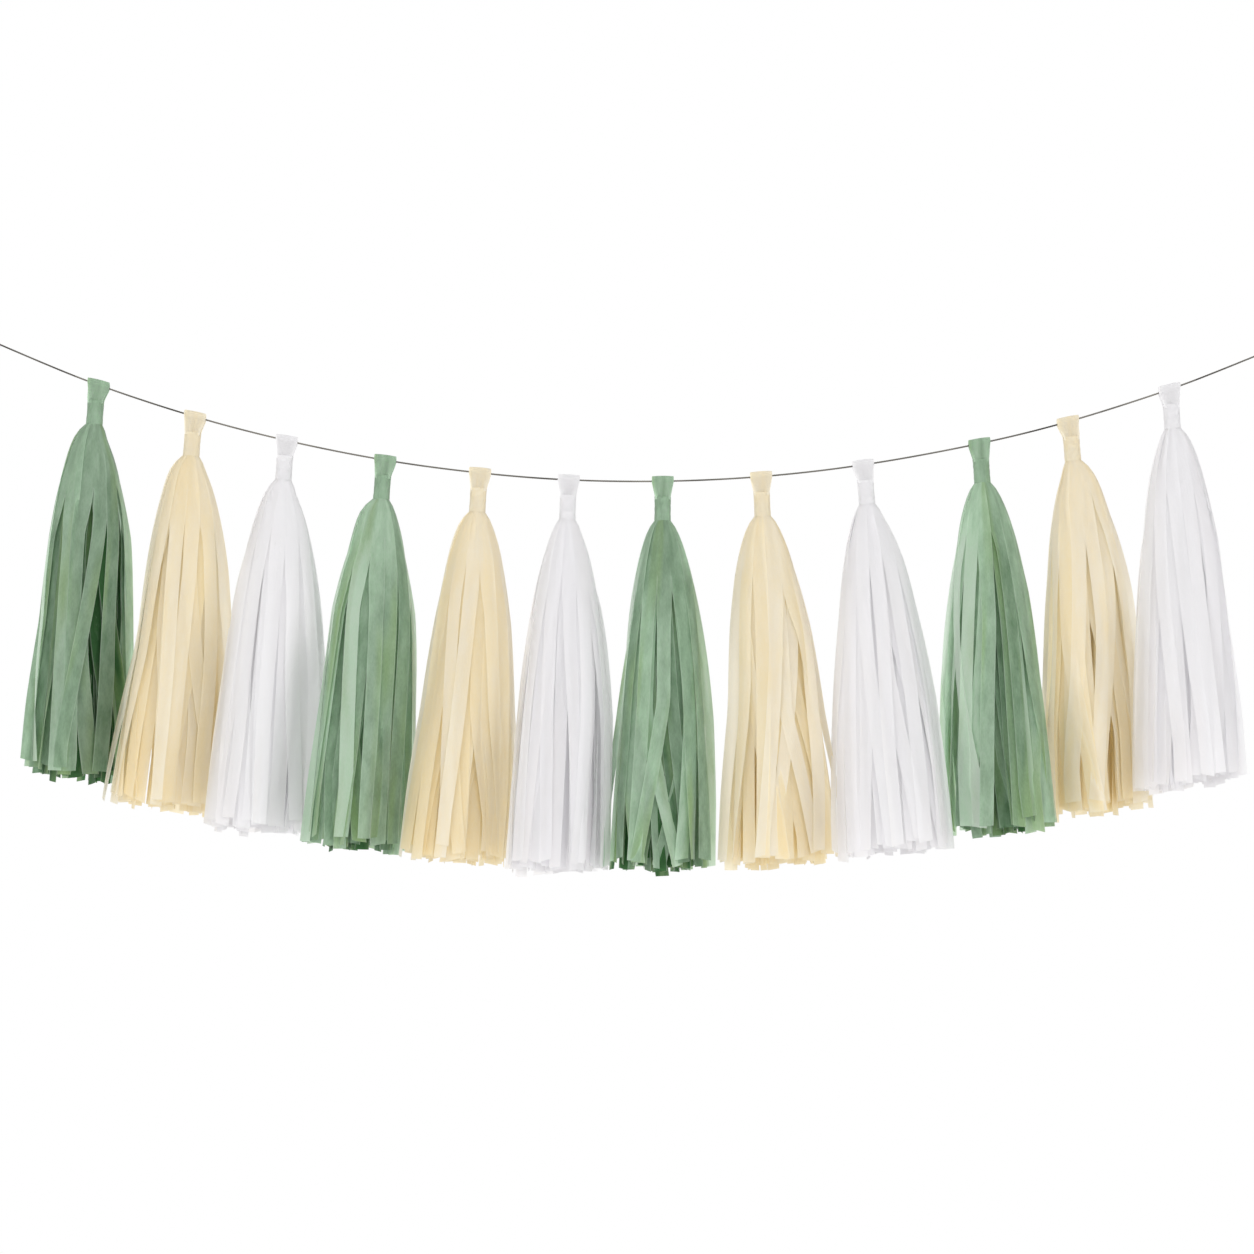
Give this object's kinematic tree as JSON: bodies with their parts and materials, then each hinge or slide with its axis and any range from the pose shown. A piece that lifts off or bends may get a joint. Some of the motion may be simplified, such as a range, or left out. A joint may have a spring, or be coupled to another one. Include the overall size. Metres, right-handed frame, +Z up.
{
  "type": "tissue paper tassel garland",
  "caption": "Party garland of fringed tissue paper tassels that hang by their own paper loops and swing on a taut string with a tied hanging loop at each end.",
  "frame": {"origin": "centre of the left hanging loop's eye, where the left hook or nail goes", "axes": "+X along the garland from left to right as a person faces it, +Y away from that person towards the wall, +Z up"},
  "size_m": [1.2006, 0.0812, 0.4967],
  "materials": {
    "green_paper": "matt tissue paper",
    "cream_paper": "matt tissue paper",
    "white_paper": "matt tissue paper",
    "string": "twisted cotton twine"
  },
  "bodies": {
    "string": {"garland_string": "string", "left_hanging_loop": "string", "right_hanging_loop": "string"},
    "tassel_01": {"tassel_01_fringed_sheet": "green_paper", "tassel_01_neck_band": "green_paper"},
    "tassel_02": {"tassel_02_fringed_sheet": "cream_paper", "tassel_02_neck_band": "cream_paper"},
    "tassel_03": {"tassel_03_fringed_sheet": "white_paper", "tassel_03_neck_band": "white_paper"},
    "tassel_04": {"tassel_04_fringed_sheet": "green_paper", "tassel_04_neck_band": "green_paper"},
    "tassel_05": {"tassel_05_fringed_sheet": "cream_paper", "tassel_05_neck_band": "cream_paper"},
    "tassel_06": {"tassel_06_fringed_sheet": "white_paper", "tassel_06_neck_band": "white_paper"},
    "tassel_07": {"tassel_07_fringed_sheet": "green_paper", "tassel_07_neck_band": "green_paper"},
    "tassel_08": {"tassel_08_fringed_sheet": "cream_paper", "tassel_08_neck_band": "cream_paper"},
    "tassel_09": {"tassel_09_fringed_sheet": "white_paper", "tassel_09_neck_band": "white_paper"},
    "tassel_10": {"tassel_10_fringed_sheet": "green_paper", "tassel_10_neck_band": "green_paper"},
    "tassel_11": {"tassel_11_fringed_sheet": "cream_paper", "tassel_11_neck_band": "cream_paper"},
    "tassel_12": {"tassel_12_fringed_sheet": "white_paper", "tassel_12_neck_band": "white_paper"}
  },
  "joints": [
    {"name": "tassel_01_swing", "type": "hinge", "parent": "string", "child": "tassel_01", "pos_m": [0.13005, 0, -0.05485], "axis": [0.9388, 0, -0.3445], "range_deg": [-45, 45]},
    {"name": "tassel_02_swing", "type": "hinge", "parent": "string", "child": "tassel_02", "pos_m": [0.21444, 0, -0.08265], "axis": [0.9594, 0, -0.2819], "range_deg": [-45, 45]},
    {"name": "tassel_03_swing", "type": "hinge", "parent": "string", "child": "tassel_03", "pos_m": [0.29473, 0, -0.10347], "axis": [0.9747, 0, -0.2234], "range_deg": [-45, 45]},
    {"name": "tassel_04_swing", "type": "hinge", "parent": "string", "child": "tassel_04", "pos_m": [0.38083, 0, -0.12065], "axis": [0.9865, 0, -0.1637], "range_deg": [-45, 45]},
    {"name": "tassel_05_swing", "type": "hinge", "parent": "string", "child": "tassel_05", "pos_m": [0.46381, 0, -0.13168], "axis": [0.9944, 0, -0.1055], "range_deg": [-45, 45]},
    {"name": "tassel_06_swing", "type": "hinge", "parent": "string", "child": "tassel_06", "pos_m": [0.54141, 0, -0.13785], "axis": [0.9989, 0, -0.0471], "range_deg": [-45, 45]},
    {"name": "tassel_07_swing", "type": "hinge", "parent": "string", "child": "tassel_07", "pos_m": [0.6237, 0, -0.13906], "axis": [0.9999, 0, 0.0159], "range_deg": [-45, 45]},
    {"name": "tassel_08_swing", "type": "hinge", "parent": "string", "child": "tassel_08", "pos_m": [0.70979, 0, -0.13504], "axis": [0.9968, 0, 0.08], "range_deg": [-45, 45]},
    {"name": "tassel_09_swing", "type": "hinge", "parent": "string", "child": "tassel_09", "pos_m": [0.79908, 0, -0.12484], "axis": [0.9891, 0, 0.1472], "range_deg": [-45, 45]},
    {"name": "tassel_10_swing", "type": "hinge", "parent": "string", "child": "tassel_10", "pos_m": [0.90077, 0, -0.10616], "axis": [0.9777, 0, 0.2102], "range_deg": [-45, 45]},
    {"name": "tassel_11_swing", "type": "hinge", "parent": "string", "child": "tassel_11", "pos_m": [0.97826, 0, -0.08705], "axis": [0.9622, 0, 0.2723], "range_deg": [-45, 45]},
    {"name": "tassel_12_swing", "type": "hinge", "parent": "string", "child": "tassel_12", "pos_m": [1.06695, 0, -0.05867], "axis": [0.9429, 0, 0.333], "range_deg": [-45, 45]}
  ]
}
